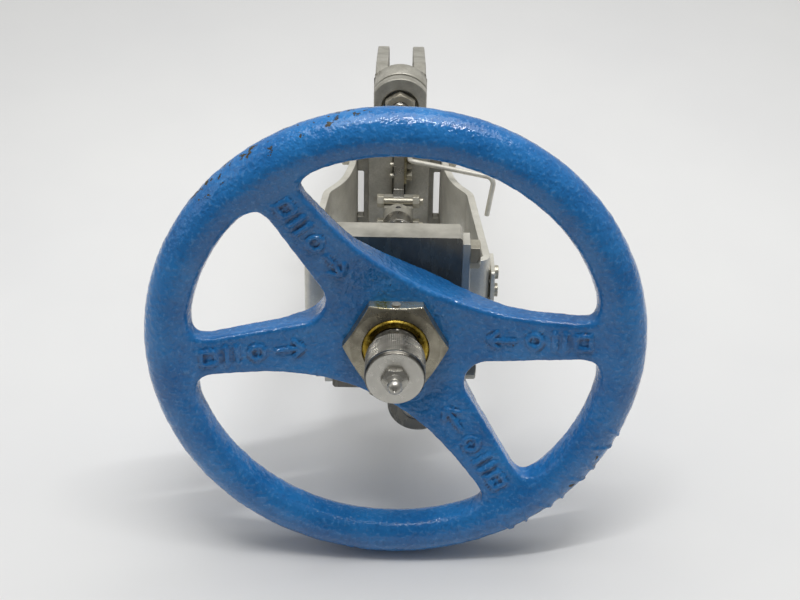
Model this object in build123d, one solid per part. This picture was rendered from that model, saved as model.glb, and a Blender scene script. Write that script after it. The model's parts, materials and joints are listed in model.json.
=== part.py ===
from build123d import *
import math
import os

# Wafer knife gate valve, DN50, rising stem, lying on its side.
# Everything is modelled with the stem upright: +Z runs up the stem, X is the pipe axis, and the origin is
# the centre of the pipe bore. Each node is then laid over, so that the stem points along -Y.
LAID_OVER = Rot(90, 0, 0)

# ---- Driving dimensions, millimetres ----
BORE_R = 25.4
FACE_X = 16.0                 # half the face-to-face length
PLATE_X = 14.8                # outer face of a body plate, behind the raised gasket face
PLATE_GAP_X = 7.5             # half the open gap between the two body plates
PLATE_R = 56.6
RAISED_FACE_R = 46.0
BOLT_PCD = 120.65
FLANGE_HOLE_R = 9.5
SHOULDER_Y = 70.6             # half width of the body plates under the gland studs
SHOULDER_Z = 46.0

GATE_T = 6.3
GATE_HALF_W = 31.5
GATE_TOP = 110.0
GATE_CLEAR = 0.35             # each side of the gate in its slot

CHEST_X = 20.75
CHEST_Y = 44.0
CHEST_BOTTOM = 78.0
CHEST_TOP = 95.0
PACKING_X = 9.5
PACKING_Y = 38.0
PACKING_BOTTOM = 80.0
PACKING_TOP = 91.0
PACKING_LAYERS = 3
PACKING_FIT = 0.1             # running fit of the packing on the gate
STUD_Y = 59.0
STUD_R = 5.0
STUD_BOSS_R = 17.8
STUD_BOSS_X = 15.2
GLAND_X = 18.0
GLAND_BOTTOM = 98.0
GLAND_TOP = 105.0

SEAT_R = 30.0
SEAT_X = 7.0

ARM_T = 4.0
ARM_BOTTOM = 77.0
ARM_BOLT_Y = 23.0
ARM_BOLT_Z = 87.0
ARM_SPACER_R = 7.0
M8_R = 4.0
M8_FLATS = 13.0
M8_HEAD = 5.3
TAPPED_GAP = 0.05             # a screw sits in its hole with this much room

HEAD_X = 33.0
HEAD_Y = 44.4
HEAD_BOTTOM = 228.0
HEAD_TOP = 245.0
HEAD_BOLT_Y = 32.8
HEAD_BOLT_Z = 239.2
CAVITY_R = 23.0
CAVITY_TOP = 241.0
COVER_T = 4.0
COVER_R = 31.0
COVER_SCREW_R = 27.0

STEM_R = 12.0
STEM_NECK_R = 8.5
STEM_SPIGOT_R = 6.0
STEM_SHOULDER_Z = 153.0
RUNNING_FIT = 0.08            # radial clearance of a shaft in its hole

NUT_R = 16.72                 # outside of the brass stem nut
NUT_BOTTOM = 224.5
NUT_TOP = 282.2
NUT_FLANGE_R = 22.6
NUT_FLANGE_BOTTOM = 232.0
NUT_FLANGE_TOP = 237.0
BEARING_GAP = 0.1

RIM_Z = 275.0
RIM_R = 114.3
RIM_TUBE_R = 11.0
HUB_BOTTOM = 247.0
SPOKE_TOP = 273.5             # front face at the hub
HUB_FLAT_R = 35.0
SPOKE_END_R = 104.3
SPOKE_END_TOP = 283.9         # the spokes slope forward to the rim
SPOKE_END_T = 10.4
SPOKE_THIN_R = 58.0           # inside this the spokes thicken towards the hub
SPOKE_THIN_BOTTOM = 264.4
SPOKE_ANGLES = (3.9, 125.0, 183.9, 305.0)
SPOKE_HUB_HALF = 16.0
SPOKE_RIM_HALF = 9.0
HUB_R = 27.0
HUB_SHOULDER_R = 40.0
HUB_SHOULDER_Z = 255.0
WIDE_WEB_R = 136.0            # hollow of the web in the wide angle between two spokes
NARROW_WEB_R = 13.0
WINDOW_CORNER_R = 12.0
LOCK_NUT_FLATS = 46.0
LOCK_NUT_TOP = 281.5
CAP_R = 15.0
STEM_END = 302.0
CAP_BOTTOM = 289.5
CAP_TOP = 309.5

CLEVIS_BOTTOM = 117.0
CLEVIS_TOP = 136.0
CLEVIS_STEP = 125.5
CLEVIS_X = 8.4
CLEVIS_Y = 10.2
CLEVIS_STEP_Y = 5.4           # half width above the bolts, which lie half open in the step
CLEVIS_BOLT_Y = 7.7
CLEVIS_BOLT_Z = 121.0
M4_R = 2.0
M5_R = 2.5
STEM_PIN_Z = 131.0

POINTER_R = 1.45
POINTER_Y = 34.0
POINTER_ROOT = (6.2, POINTER_Y, 107.0)
POINTER_KNEE = (6.2, POINTER_Y, 123.0)
POINTER_CORNER = (53.7, POINTER_Y, 145.0)
POINTER_TIP = (50.3, 10.7, 145.0)
POINTER_SCREW_Y = (18.0, 25.0)
POINTER_SCREW_Z = 108.1
POINTER_FOOT_BOTTOM = 105.4
POINTER_FOOT_T = 1.4
M3_R = 1.5

SCALE_X = 48.9
SCALE_T = 2.2
SCALE_BOTTOM = 205.0
SCALE_TOP = 229.0
SCALE_LOW_Y = -20.0
SCALE_HIGH_Y = 17.0
SCALE_SCREWS = ((12.5, 219.0), (2.0, 219.0))

LUG_CENTRE = (12.5, -57.2)
LUG_Z = 236.0
LUG_HALF_T = 4.0
LUG_R = 16.3
LUG_HOLE_R = 9.0
LUG_SCREW_X = (-9.5, 28.0)
LUG_SCREW_R = 3.0
LUG_SCREW_HEAD_R = 4.5
LUG_SCREW_HEAD_H = 4.0
LUG_PAD_T = 4.0


# ---- Small building blocks ----
def ring(r_out, r_in, z0, z1):
    """An upright tube from z0 to z1."""
    tube = Pos(0, 0, (z0 + z1) / 2) * Cylinder(r_out, z1 - z0)
    return tube - Pos(0, 0, (z0 + z1) / 2) * Cylinder(r_in, z1 - z0 + 2)


def post(r, z0, z1, x=0, y=0):
    """An upright solid cylinder."""
    return Pos(x, y, (z0 + z1) / 2) * Cylinder(r, z1 - z0)


def cross_rod(r, x0, x1, y, z):
    """A solid cylinder along X."""
    return Pos((x0 + x1) / 2, y, z) * Rot(0, 90, 0) * Cylinder(r, abs(x1 - x0))


def block(x0, x1, y0, y1, z0, z1):
    """A rectangular solid between two corners."""
    return Pos((x0 + x1) / 2, (y0 + y1) / 2, (z0 + z1) / 2) * Box(x1 - x0, y1 - y0, z1 - z0)


def hexagon(flats, height):
    """A hexagonal prism standing on the origin with two corners on X, its top corners cut at 30 degrees."""
    prism = extrude(RegularPolygon(flats / math.sqrt(3), 6), amount=height)
    face_r = 0.97 * flats / 2
    cone_base_r = face_r + height / math.tan(math.radians(30))
    return prism & Pos(0, 0, height / 2) * Cone(cone_base_r, face_r, height)


def hex_bolt(shank_r, flats, head, length):
    """A bolt whose shank hangs below the origin and whose head stands on it."""
    return hexagon(flats, head) + post(shank_r, -length, 0)


def top_along_x(side):
    """The turn that makes an upright shape's top point along +X or -X."""
    return Rot(0, 90 * side, 0)


def stud_boss_outline():
    """The rounded end lug around one gland stud, cut flat on its two sides."""
    lug = Circle(STUD_BOSS_R) & Rectangle(2 * STUD_BOSS_X, 2 * STUD_BOSS_R)
    return [Pos(0, side * STUD_Y) * lug for side in (-1, 1)]


# ---- Body and what is fixed inside it ----
def plate_outline():
    """Shield shape of one body plate, in Y and Z: round below, wide shoulders above."""
    corner = 14.0
    shoulder_y = SHOULDER_Y - corner
    edges = Circle(PLATE_R).edges()
    for side in (-1, 1):
        edges += (Pos(side * shoulder_y, SHOULDER_Z + corner) * Circle(corner)).edges()
        edges += (Pos(side * (SHOULDER_Y - 1), PACKING_BOTTOM - 1) * Circle(1)).edges()
    return make_hull(edges)


def gate_slot():
    """The round-bottomed slot that the gate slides in."""
    half_w = GATE_HALF_W + 0.5
    outline = Circle(half_w) + Pos(0, 60) * Rectangle(2 * half_w, 120)
    return extrude(Plane.YZ * outline, amount=GATE_T / 2 + GATE_CLEAR, both=True)


def body():
    plate = plate_outline()
    shape = extrude(Plane.YZ * plate, amount=PLATE_X, both=True)
    shape -= extrude(Plane.YZ * plate, amount=PLATE_GAP_X, both=True)
    web_r = 37.2
    web = Circle(web_r) + Pos(0, CHEST_BOTTOM / 2) * Rectangle(2 * web_r, CHEST_BOTTOM)
    shape += extrude(Plane.YZ * web, amount=PLATE_GAP_X, both=True)
    shape += cross_rod(RAISED_FACE_R, -FACE_X, FACE_X, 0, 0) - cross_rod(
        RAISED_FACE_R, -PLATE_X, PLATE_X, 0, 0
    )
    chest = block(-CHEST_X, CHEST_X, -CHEST_Y, CHEST_Y, CHEST_BOTTOM, CHEST_TOP)
    chest = fillet(chest.edges().filter_by(Axis.Z), 5)
    shape += chest
    for lug in stud_boss_outline():
        shape += Pos(0, 0, PACKING_BOTTOM - 1) * extrude(lug, amount=CHEST_TOP - PACKING_BOTTOM + 1)
    spacer_x = arm_path()[0][0] - ARM_T / 2
    ear_half_y = 8.2
    ear_t = 4.7
    for y in (-ARM_BOLT_Y, ARM_BOLT_Y):
        shape += cross_rod(ARM_SPACER_R, -spacer_x, spacer_x, y, ARM_BOLT_Z)
        shape += block(-spacer_x, spacer_x, y - ear_half_y, y + ear_half_y, CHEST_TOP - ear_t, CHEST_TOP)
    hole_y = BOLT_PCD / 2 / math.sqrt(2)
    for y in (-hole_y, hole_y):
        for z in (-hole_y, hole_y):
            shape -= cross_rod(FLANGE_HOLE_R, -FACE_X - 1, FACE_X + 1, y, z)
    shape -= gate_slot()
    shape -= block(-PACKING_X, PACKING_X, -PACKING_Y, PACKING_Y, PACKING_BOTTOM, CHEST_TOP + 1)
    shape -= cross_rod(BORE_R, -FACE_X - 1, FACE_X, 0, 0)
    shape -= cross_rod(SEAT_R, GATE_T / 2, FACE_X + 1, 0, 0)
    for y in (-STUD_Y, STUD_Y):
        shape -= post(STUD_R + TAPPED_GAP, CHEST_TOP - 12, CHEST_TOP + 1, 0, y)
    depth_x = 14.0
    for side in (-1, 1):
        for y in (-ARM_BOLT_Y, ARM_BOLT_Y):
            shape -= cross_rod(M8_R + TAPPED_GAP, side * depth_x, side * (spacer_x + 1), y, ARM_BOLT_Z)
    return shape


def seat_ring():
    """Soft seat facing the gate on the outlet side."""
    seal_x = GATE_T / 2 + PACKING_FIT
    return cross_rod(SEAT_R, seal_x, SEAT_X, 0, 0) - cross_rod(BORE_R, 0, SEAT_X + 1, 0, 0)


def seat_retainer():
    return cross_rod(SEAT_R, SEAT_X, FACE_X, 0, 0) - cross_rod(BORE_R, SEAT_X - 1, FACE_X + 1, 0, 0)


def packing():
    """Square braided packing, one frame above another round the gate."""
    height = (PACKING_TOP - PACKING_BOTTOM) / PACKING_LAYERS
    room = 0.05
    inner_x = GATE_T / 2 + PACKING_FIT
    inner_y = GATE_HALF_W + PACKING_FIT
    layers = []
    for i in range(PACKING_LAYERS):
        z0 = PACKING_BOTTOM + i * height
        z1 = z0 + height - room
        layer = block(-PACKING_X + room, PACKING_X - room, -PACKING_Y + room, PACKING_Y - room, z0, z1)
        layers.append(layer - block(-inner_x, inner_x, -inner_y, inner_y, z0 - 1, z1 + 1))
    return Compound(children=layers)


def gland():
    """Plate that presses the packing, with a lug and a sunk nut seat over each stud."""
    outline = RectangleRounded(2 * GLAND_X, 2 * CHEST_Y, 5)
    for lug in stud_boss_outline():
        outline += lug
    shape = Pos(0, 0, GLAND_BOTTOM) * extrude(outline, amount=GLAND_TOP - GLAND_BOTTOM)
    nose_x = PACKING_X - 0.2
    nose_y = PACKING_Y - 0.2
    shape += block(-nose_x, nose_x, -nose_y, nose_y, PACKING_TOP, GLAND_BOTTOM)
    shape -= gate_slot()
    nut_seat_r = 10.7
    nut_seat_depth = 4.5
    for y in (-STUD_Y, STUD_Y):
        shape -= post(nut_seat_r, GLAND_TOP - nut_seat_depth, GLAND_TOP + 1, 0, y)
        shape -= post(STUD_R + 0.4, GLAND_BOTTOM - 1, GLAND_TOP, 0, y)
    return shape


def gland_studs():
    return Compound(children=[post(STUD_R, CHEST_TOP - 12, 112, 0, y) for y in (-STUD_Y, STUD_Y)])


def gland_nuts():
    nut = hexagon(17, 8) - post(STUD_R + TAPPED_GAP, -1, 9)
    return Compound(children=[Pos(0, y, GLAND_TOP - 4.5) * Rot(0, 0, 30) * nut for y in (-STUD_Y, STUD_Y)])


# ---- Yoke: two bent arms and the head block ----
def arm_path():
    """Centre line of an arm in X and Z: up the chest, out, along the stem, in, and up the head block."""
    head_leg_x = HEAD_X + ARM_T / 2
    return [
        (26.7, ARM_BOTTOM),
        (27.0, 112.0),
        (31.0, 136.0),
        (40.0, 152.0),
        (41.3, 170.0),
        (46.7, 228.0),
        (head_leg_x, 228.0),
        (head_leg_x, HEAD_TOP),
    ]


def arm_side_outline():
    """How wide the arm's sheet is along its height, in Y and Z."""
    foot_y = 26.0
    knee_y, knee_z = 27.5, 170.0
    neck_y = 24.5
    head_y = 41.0
    shoulder_z = 231.0
    points = [
        (foot_y, ARM_BOTTOM - 1),
        (knee_y, knee_z),
        (neck_y, shoulder_z),
        (head_y, shoulder_z),
        (head_y, HEAD_TOP + 1),
    ]
    mirrored = [(-y, z) for y, z in reversed(points)]
    return make_face(Polyline(*points, *mirrored, close=True))


def arm(side):
    radii = [60.0, 55.0, 16.0, 60.0, 3.6, 3.6]
    points = [(side * x, 0, z) for x, z in arm_path()]
    path = FilletPolyline(*points, radius=radii)
    section = Plane(origin=points[0], x_dir=(0, 1, 0), z_dir=path % 0) * Rectangle(2 * HEAD_Y, ARM_T)
    sheet = sweep(section, path=path)
    sheet = sheet & extrude(Plane.YZ * arm_side_outline(), amount=60, both=True)
    for y in (-ARM_BOLT_Y, ARM_BOLT_Y):
        sheet -= cross_rod(M8_R + 0.4, 0, side * 60, y, ARM_BOLT_Z)
    for y in (-HEAD_BOLT_Y, HEAD_BOLT_Y):
        sheet -= cross_rod(M8_R + 0.4, 0, side * (HEAD_X + ARM_T + 1), y, HEAD_BOLT_Z)
    if side > 0:
        for y, z in SCALE_SCREWS:
            sheet -= cross_rod(2.0 + TAPPED_GAP, 40, 60, y, z)
    return sheet


def side_bolts(surface_x, y, z, length):
    """Four hex bolts that go in from the two sides of the valve."""
    bolts = []
    for side in (-1, 1):
        for up in (-1, 1):
            bolt = hex_bolt(M8_R, M8_FLATS, M8_HEAD, length)
            bolts.append(Pos(side * surface_x, up * y, z) * top_along_x(side) * Rot(0, 0, 12) * bolt)
    return Compound(children=bolts)


def arm_bolts():
    surface_x = arm_path()[0][0] + ARM_T / 2 + 0.15
    return side_bolts(surface_x, ARM_BOLT_Y, ARM_BOLT_Z, surface_x - 14.5)


def head_bolts():
    return side_bolts(HEAD_X + ARM_T, HEAD_BOLT_Y, HEAD_BOLT_Z, 18)


def yoke_head():
    """Machined block that carries the stem nut and its thrust bearings."""
    shape = block(-HEAD_X, HEAD_X, -HEAD_Y, HEAD_Y, HEAD_BOTTOM, HEAD_TOP)
    shape = chamfer(shape.edges().filter_by(Axis.Z), 1.2)
    shape -= post(CAVITY_R, HEAD_BOTTOM - 1, CAVITY_TOP)
    shape -= post(NUT_R + RUNNING_FIT, CAVITY_TOP - 1, HEAD_TOP + 1)
    for side in (-1, 1):
        for y in (-HEAD_BOLT_Y, HEAD_BOLT_Y):
            shape -= cross_rod(M8_R + TAPPED_GAP, side * 18, side * (HEAD_X + 1), y, HEAD_BOLT_Z)
    for x, y in cover_screw_places():
        shape -= post(M5_R + TAPPED_GAP, HEAD_BOTTOM - 1, HEAD_BOTTOM + 10, x, y)
    for x in LUG_SCREW_X:
        shape -= Pos(x, -HEAD_Y + 2, LUG_Z) * Rot(90, 0, 0) * Cylinder(3 + TAPPED_GAP, 9)
    return shape


def cover_screw_places():
    return [
        (COVER_SCREW_R * math.cos(math.radians(a)), COVER_SCREW_R * math.sin(math.radians(a)))
        for a in (45, 135, 225, 315)
    ]


def bearing_cover():
    """Plate that closes the bearing cavity from below."""
    shape = ring(COVER_R, NUT_R + RUNNING_FIT, HEAD_BOTTOM - COVER_T, HEAD_BOTTOM)
    for x, y in cover_screw_places():
        shape -= post(M5_R + 0.2, HEAD_BOTTOM - COVER_T - 1, HEAD_BOTTOM + 1, x, y)
    return shape


def cover_screws():
    screws = []
    under = HEAD_BOTTOM - COVER_T
    for x, y in cover_screw_places():
        screws.append(post(M5_R, under, HEAD_BOTTOM + 9, x, y) + post(4.2, under - 3, under, x, y))
    return Compound(children=screws)


def upper_thrust_bearing():
    return ring(CAVITY_R - 0.1, NUT_R + 0.15, NUT_FLANGE_TOP + BEARING_GAP, CAVITY_TOP)


def lower_thrust_bearing():
    return ring(CAVITY_R - 0.1, NUT_R + 0.15, HEAD_BOTTOM, NUT_FLANGE_BOTTOM - BEARING_GAP)


def locking_lug():
    """Eye under the head block for a padlock or a lifting hook, on its own screwed pad."""
    pad_x0 = LUG_SCREW_X[0] - 5
    pad_x1 = LUG_SCREW_X[1] + 5
    shape = block(pad_x0, pad_x1, -HEAD_Y - LUG_PAD_T, -HEAD_Y, LUG_Z - 7, LUG_Z + 7)
    root_y = -HEAD_Y - LUG_PAD_T + 1
    edges = (Pos(*LUG_CENTRE) * Circle(LUG_R)).edges()
    edges += Line((-3, root_y), (21, root_y)).edges()
    eye = make_hull(edges) - Pos(*LUG_CENTRE) * Circle(LUG_HOLE_R)
    shape += Pos(0, 0, LUG_Z - LUG_HALF_T) * extrude(eye, amount=2 * LUG_HALF_T)
    shape -= block(pad_x0, pad_x1, -HEAD_Y, 0, LUG_Z - 7, LUG_Z + 7)
    for x in LUG_SCREW_X:
        seat = post(LUG_SCREW_R + TAPPED_GAP, -LUG_PAD_T - 1, 1)
        seat += post(LUG_SCREW_HEAD_R + 0.3, 0, LUG_SCREW_HEAD_H + 0.3)
        shape -= Pos(x, -HEAD_Y - LUG_PAD_T, LUG_Z) * Rot(90, 0, 0) * seat
    return shape


def lug_screws():
    screws = []
    for x in LUG_SCREW_X:
        screw = post(LUG_SCREW_R, -LUG_PAD_T - 6, 0) + post(LUG_SCREW_HEAD_R, 0, LUG_SCREW_HEAD_H)
        screws.append(Pos(x, -HEAD_Y - LUG_PAD_T, LUG_Z) * Rot(90, 0, 0) * screw)
    return Compound(children=screws)


# ---- Opening scale beside the pointer ----
def scale_plate():
    """Plate on the right arm that the pointer's tip comes up to when the valve is open."""
    shape = block(SCALE_X, SCALE_X + SCALE_T, SCALE_LOW_Y, SCALE_HIGH_Y, SCALE_BOTTOM, SCALE_TOP)
    shape = fillet(shape.edges().filter_by(Axis.X), 1.5)
    for y, z in SCALE_SCREWS:
        shape -= cross_rod(2.15, SCALE_X - 1, SCALE_X + SCALE_T + 1, y, z)
    return shape


def scale_spacers(right_arm):
    spacers = []
    for y, z in SCALE_SCREWS:
        tube = cross_rod(4, SCALE_X - 3, SCALE_X, y, z) - cross_rod(2.1, SCALE_X - 4, SCALE_X + 1, y, z)
        spacers.append((tube - right_arm).solids().sort_by(Axis.X)[-1])
    return Compound(children=spacers)


def scale_screws():
    screws = []
    for y, z in SCALE_SCREWS:
        outer = SCALE_X + SCALE_T
        screws.append(cross_rod(2, outer - 8, outer, y, z) + cross_rod(3.6, outer, outer + 2.2, y, z))
    return Compound(children=screws)


# ---- Turning parts: handwheel, stem nut and what locks them ----
def spoke_outline():
    """One tapered spoke lying along +X, wider at the hub than at the rim."""
    return make_face(
        Polyline(
            (0, -SPOKE_HUB_HALF),
            (RIM_R, -SPOKE_RIM_HALF),
            (RIM_R, SPOKE_RIM_HALF),
            (0, SPOKE_HUB_HALF),
            close=True,
        )
    )


def wheel_window(window):
    """One window between two spokes, with its corners rounded at the hub and at the rim."""
    corners = sorted(window.vertices(), key=lambda v: Vector(v.X, v.Y, 0).length)
    across_rim = (Vector(corners[1].X, corners[1].Y) - Vector(corners[2].X, corners[2].Y)).length
    web_r = WIDE_WEB_R if across_rim > RIM_R else NARROW_WEB_R
    return fillet(fillet(corners[1:], WINDOW_CORNER_R).vertices().sort_by_distance((0, 0, 0))[:1], web_r)


def wheel_outline():
    """Plan of the rim, spokes and hub, with four windows."""
    windows = Circle(RIM_R - RIM_TUBE_R + 1)
    for angle in SPOKE_ANGLES:
        windows -= Rot(0, 0, angle) * spoke_outline()
    plate = Circle(RIM_R)
    for window in windows.faces():
        plate -= wheel_window(window)
    return plate


def handwheel():
    profile = make_face(
        Polyline(
            (0, HUB_BOTTOM),
            (HUB_R, HUB_BOTTOM),
            (HUB_SHOULDER_R, HUB_SHOULDER_Z),
            (SPOKE_THIN_R, SPOKE_THIN_BOTTOM),
            (SPOKE_END_R, SPOKE_END_TOP - SPOKE_END_T),
            (RIM_R, SPOKE_END_TOP - SPOKE_END_T),
            (RIM_R, SPOKE_END_TOP),
            (SPOKE_END_R, SPOKE_END_TOP),
            (HUB_FLAT_R, SPOKE_TOP),
            (0, SPOKE_TOP),
            close=True,
        )
    )
    spokes = Pos(0, 0, HUB_BOTTOM) * extrude(wheel_outline(), amount=SPOKE_END_TOP - HUB_BOTTOM + 1)
    shape = spokes & revolve(Plane.XZ * profile, Axis.Z)
    shape += Pos(0, 0, RIM_Z) * Torus(RIM_R, RIM_TUBE_R)
    shape -= post(NUT_R, HUB_BOTTOM - 1, SPOKE_TOP + 1)
    shape -= key_block()
    return shape


def key_block():
    return block(-2.5, 2.5, -NUT_R - 2.2, -NUT_R + 2.0, 250, 270)


def wheel_key():
    return key_block()


def stem_nut():
    """Brass nut that the wheel turns and the stem rises through."""
    tube = post(NUT_R, NUT_BOTTOM, NUT_TOP) - post(STEM_R + RUNNING_FIT, NUT_BOTTOM - 1, NUT_TOP + 1)
    mouth = tube.edges().filter_by(GeomType.CIRCLE).group_by(Axis.Z)[-1]
    shape = chamfer(mouth, 1.2)
    shape += ring(NUT_FLANGE_R, NUT_R - 1, NUT_FLANGE_BOTTOM, NUT_FLANGE_TOP)
    return shape - key_block()


def lock_nut():
    height = LOCK_NUT_TOP - SPOKE_TOP
    shape = Pos(0, 0, SPOKE_TOP) * hexagon(LOCK_NUT_FLATS, height)
    shape -= post(NUT_R + TAPPED_GAP, SPOKE_TOP - 1, LOCK_NUT_TOP + 1)
    return shape - lock_screw_shape(TAPPED_GAP)


def lock_screw_shape(gap):
    outer_y = LOCK_NUT_FLATS / 2 + 0.8
    length = outer_y - NUT_R
    middle = (outer_y + NUT_R) / 2
    centre = Pos(0, middle + gap, (SPOKE_TOP + LOCK_NUT_TOP) / 2)
    return centre * Rot(90, 0, 0) * Cylinder(2.2 + gap, length + 2 * gap)


def lock_screw():
    return lock_screw_shape(0)


# ---- Rising parts: gate, clevis, stem, end cap, pointer ----
def gate():
    outline = Circle(GATE_HALF_W) + Pos(0, GATE_TOP / 2) * Rectangle(2 * GATE_HALF_W, GATE_TOP)
    tongue_top = CLEVIS_STEP - 1
    outline += Pos(0, (GATE_TOP + tongue_top) / 2) * Rectangle(2 * CLEVIS_Y, tongue_top - GATE_TOP)
    shape = extrude(Plane.YZ * outline, amount=GATE_T / 2, both=True)
    for y in (-CLEVIS_BOLT_Y, CLEVIS_BOLT_Y):
        shape -= cross_rod(M4_R + TAPPED_GAP, -GATE_T, GATE_T, y, CLEVIS_BOLT_Z)
    for y in POINTER_SCREW_Y:
        shape -= cross_rod(M3_R + TAPPED_GAP, -GATE_T, GATE_T, y, POINTER_SCREW_Z)
    return shape - clevis_steps()


def clevis_steps():
    """What is cut from the fork and the tongue beside the neck, so that the bolts show."""
    side = block(-20, 20, CLEVIS_STEP_Y, CLEVIS_Y + 1, CLEVIS_BOLT_Z, CLEVIS_STEP + 1)
    return side + mirror(side, Plane.XZ)


def clevis():
    """Fork over the gate's tongue, with a round neck that the stem screws into."""
    shape = block(-CLEVIS_X, CLEVIS_X, -CLEVIS_Y, CLEVIS_Y, CLEVIS_BOTTOM, CLEVIS_STEP)
    shape += post(CLEVIS_X, CLEVIS_STEP, CLEVIS_TOP)
    shape -= block(-GATE_T / 2 - 0.05, GATE_T / 2 + 0.05, -20, 20, CLEVIS_BOTTOM - 1, CLEVIS_STEP - 0.5)
    shape -= post(STEM_SPIGOT_R + TAPPED_GAP, CLEVIS_STEP - 1, CLEVIS_TOP + 1)
    for y in (-CLEVIS_BOLT_Y, CLEVIS_BOLT_Y):
        shape -= cross_rod(M4_R + TAPPED_GAP, -20, 20, y, CLEVIS_BOLT_Z)
    return shape - clevis_steps() - stem_pin_shape(TAPPED_GAP)


def stem_pin_shape(gap):
    return Pos(0, 0, STEM_PIN_Z) * Rot(90, 0, 0) * Cylinder(1.5 + gap, 2 * CLEVIS_X + gap)


def stem_pin():
    return stem_pin_shape(0)


def clevis_bolts():
    bolts = []
    for y in (-CLEVIS_BOLT_Y, CLEVIS_BOLT_Y):
        bolt = hex_bolt(M4_R, 7, 4.0, 2 * CLEVIS_X + 6)
        bolts.append(Pos(-CLEVIS_X, y, CLEVIS_BOLT_Z) * top_along_x(-1) * bolt)
    return Compound(children=bolts)


def clevis_nuts():
    nut = hexagon(7, 4.0) - post(M4_R + TAPPED_GAP, -1, 6)
    places = [Pos(CLEVIS_X, y, CLEVIS_BOLT_Z) for y in (-CLEVIS_BOLT_Y, CLEVIS_BOLT_Y)]
    return Compound(children=[place * top_along_x(1) * nut for place in places])


def stem():
    shape = post(STEM_SPIGOT_R, CLEVIS_STEP + 0.5, CLEVIS_TOP + 1)
    shape += post(STEM_NECK_R, CLEVIS_TOP, STEM_SHOULDER_Z + 1)
    shape += post(STEM_R, STEM_SHOULDER_Z, STEM_END)
    return shape - stem_pin_shape(TAPPED_GAP)


def stem_cap():
    """Knurled cap screwed on the stem's end, so that the stem can't run out of its nut."""
    shape = post(CAP_R, CAP_BOTTOM, CAP_TOP)
    shape = chamfer(shape.edges(), 1.3)
    shape -= post(STEM_R + TAPPED_GAP, CAP_BOTTOM - 1, STEM_END + 0.5)
    return shape - post(3.0 + TAPPED_GAP, STEM_END, CAP_TOP + 1)


def grease_nipple():
    hex_h = 3.6
    ball_r = 3.8
    ball_z = 7.2
    shape = post(3.0, -5.5, ball_z) + hexagon(12, hex_h)
    shape += Pos(0, 0, hex_h + 1) * Cone(4.2, 3.0, 2.0)
    shape += Pos(0, 0, ball_z) * Sphere(ball_r)
    return Pos(0, 0, CAP_TOP) * shape


def pointer_bracket():
    """Small foot screwed to the side of the gate's top end, with a boss that holds the pointer rod."""
    x, y, z = POINTER_ROOT
    face_x = GATE_T / 2
    foot_low_y = POINTER_SCREW_Y[0] - 3.5
    shape = block(face_x, face_x + POINTER_FOOT_T, foot_low_y, y + 3, POINTER_FOOT_BOTTOM, POINTER_FOOT_BOTTOM + 6.5)
    shape += block(face_x, x + 3, y - 3, y + 3, POINTER_FOOT_BOTTOM, POINTER_FOOT_BOTTOM + 7.5)
    for screw_y in POINTER_SCREW_Y:
        shape -= cross_rod(M3_R + 0.1, 0, x, screw_y, POINTER_SCREW_Z)
    return shape - pointer_rod(POINTER_R + TAPPED_GAP)


def pointer_rod(radius):
    path = FilletPolyline(POINTER_ROOT, POINTER_KNEE, POINTER_CORNER, POINTER_TIP, radius=4)
    section = Plane(origin=POINTER_ROOT, z_dir=path % 0) * Circle(radius)
    return sweep(section, path=path)


def pointer():
    return pointer_rod(POINTER_R)


def pointer_screws():
    """Two small hex screws through the foot and the gate."""
    seat_x = GATE_T / 2 + POINTER_FOOT_T
    screws = []
    for y in POINTER_SCREW_Y:
        screw = hex_bolt(M3_R, 5, 3.0, seat_x + GATE_T / 2 + 2.2)
        screws.append(Pos(seat_x, y, POINTER_SCREW_Z) * top_along_x(1) * Rot(0, 0, 30) * screw)
    return Compound(children=screws)


def save(name, shape):
    shape = LAID_OVER * shape
    shape.label = name
    export_step(shape, os.path.join("parts", name + ".step"))


def main():
    os.makedirs("parts", exist_ok=True)
    right_arm = arm(1)
    nodes = {
        "body": body(),
        "seat_ring": seat_ring(),
        "seat_retainer": seat_retainer(),
        "packing": packing(),
        "gland": gland(),
        "gland_studs": gland_studs(),
        "gland_nuts": gland_nuts(),
        "left_arm": arm(-1),
        "right_arm": right_arm,
        "arm_bolts": arm_bolts(),
        "head_bolts": head_bolts(),
        "yoke_head": yoke_head(),
        "bearing_cover": bearing_cover(),
        "cover_screws": cover_screws(),
        "upper_thrust_bearing": upper_thrust_bearing(),
        "lower_thrust_bearing": lower_thrust_bearing(),
        "locking_lug": locking_lug(),
        "lug_screws": lug_screws(),
        "scale_plate": scale_plate(),
        "scale_spacers": scale_spacers(right_arm),
        "scale_screws": scale_screws(),
        "handwheel": handwheel(),
        "wheel_key": wheel_key(),
        "stem_nut": stem_nut(),
        "lock_nut": lock_nut(),
        "lock_screw": lock_screw(),
        "gate": gate(),
        "clevis": clevis(),
        "clevis_bolts": clevis_bolts(),
        "clevis_nuts": clevis_nuts(),
        "stem": stem(),
        "stem_pin": stem_pin(),
        "stem_cap": stem_cap(),
        "grease_nipple": grease_nipple(),
        "pointer_bracket": pointer_bracket(),
        "pointer": pointer(),
        "pointer_screws": pointer_screws(),
    }
    for name, shape in nodes.items():
        save(name, shape)


main()
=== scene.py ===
import json
import math

import bpy
import numpy as np
from mathutils import Matrix, Vector, noise


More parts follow.
